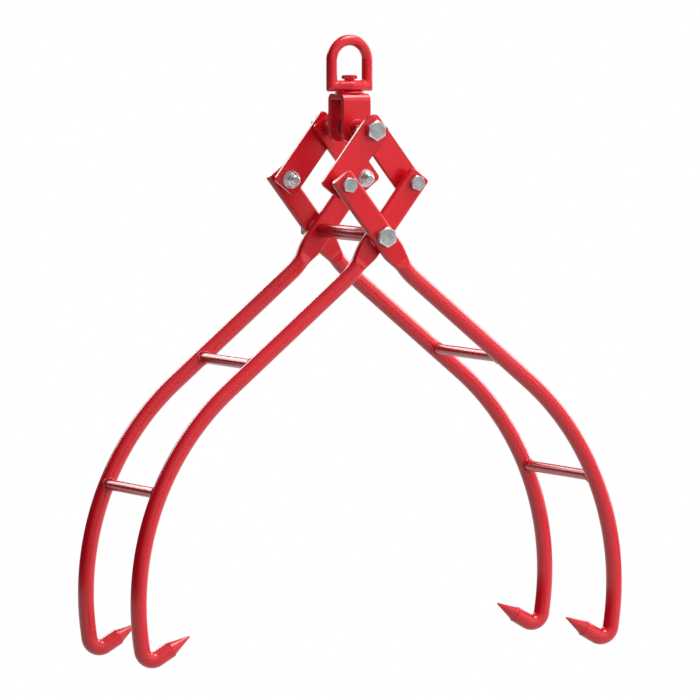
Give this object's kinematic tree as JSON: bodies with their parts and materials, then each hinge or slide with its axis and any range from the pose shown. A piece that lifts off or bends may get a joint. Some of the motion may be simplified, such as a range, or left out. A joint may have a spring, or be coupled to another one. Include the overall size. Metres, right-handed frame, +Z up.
{
  "type": "log grapple",
  "caption": "Log grapple that hangs from a swivel eye and closes hooked claws on a log through a scissor of links and crossed arms.",
  "frame": {"origin": "centre of the lifting eye's arch", "axes": "+Z up, +X the way the claws open, Y along the log, -Y the side that the long bolts' heads are on"},
  "size_m": [0.7088, 0.2386, 0.8074],
  "materials": {
    "red_coat": "glossy red powder coat",
    "zinc": "bright zinc plating"
  },
  "bodies": {
    "ring": {"swivel_ring": "red_coat"},
    "hanger": {"swivel_pin": "red_coat", "swivel_pin_nut": "zinc", "thrust_washer": "red_coat", "bracket": "red_coat", "top_pivot_tube": "red_coat"},
    "top_bolt": {"top_pivot_bolt": "zinc", "top_pivot_washer": "zinc", "top_pivot_nut": "zinc"},
    "left_links": {"front_left_link": "red_coat", "front_left_bolt": "zinc", "front_left_spacer": "red_coat", "front_left_washer": "zinc", "front_left_nut": "zinc", "rear_left_link": "red_coat", "rear_left_bolt": "zinc", "rear_left_spacer": "red_coat", "rear_left_washer": "zinc", "rear_left_nut": "zinc"},
    "right_links": {"front_right_link": "red_coat", "front_right_bolt": "zinc", "front_right_spacer": "red_coat", "front_right_washer": "zinc", "front_right_nut": "zinc", "rear_right_link": "red_coat", "rear_right_bolt": "zinc", "rear_right_spacer": "red_coat", "rear_right_washer": "zinc", "rear_right_nut": "zinc"},
    "right_claws": {"front_right_arm": "red_coat", "rear_right_arm": "red_coat", "upper_right_rung": "red_coat", "lower_right_rung": "red_coat", "bottom_pivot_bolt": "zinc", "bottom_pivot_tube": "red_coat", "bottom_pivot_nut": "zinc", "bottom_nut_washer": "zinc", "front_arm_washer": "zinc", "rear_arm_washer": "zinc"},
    "left_claws": {"front_left_arm": "red_coat", "rear_left_arm": "red_coat", "upper_left_rung": "red_coat", "lower_left_rung": "red_coat"}
  },
  "joints": [
    {"name": "swivel", "type": "hinge", "parent": "ring", "child": "hanger", "pos_m": [0, 0, -0.048], "axis": [0, 0, 1], "continuous": true},
    {"name": "hanger_swing", "type": "hinge", "parent": "hanger", "child": "top_bolt", "pos_m": [0, 0, -0.09], "axis": [0, 1, 0], "range_deg": [-90, 90]},
    {"name": "left_link_hinge", "type": "hinge", "parent": "top_bolt", "child": "left_links", "pos_m": [0, 0, -0.09], "axis": [0, 1, 0], "range_deg": [-26.5, 41]},
    {"name": "right_link_hinge", "type": "hinge", "parent": "top_bolt", "child": "right_links", "pos_m": [0, 0, -0.09], "axis": [0, -1, 0], "range_deg": [-26.5, 41]},
    {"name": "right_claw_hinge", "type": "hinge", "parent": "left_links", "child": "right_claws", "pos_m": [-0.05316, 0, -0.15887], "axis": [0, -1, 0], "range_deg": [-53, 82]},
    {"name": "left_claw_hinge", "type": "hinge", "parent": "right_claws", "child": "left_claws", "pos_m": [0, 0, -0.22775], "axis": [0, 1, 0], "range_deg": [-53, 82]}
  ],
  "couplings": [
    {"joint": "right_claw_hinge", "follows": "left_claw_hinge", "ratio": 1},
    {"joint": "left_link_hinge", "follows": "left_claw_hinge", "ratio": 0.5},
    {"joint": "right_link_hinge", "follows": "left_claw_hinge", "ratio": 0.5}
  ]
}
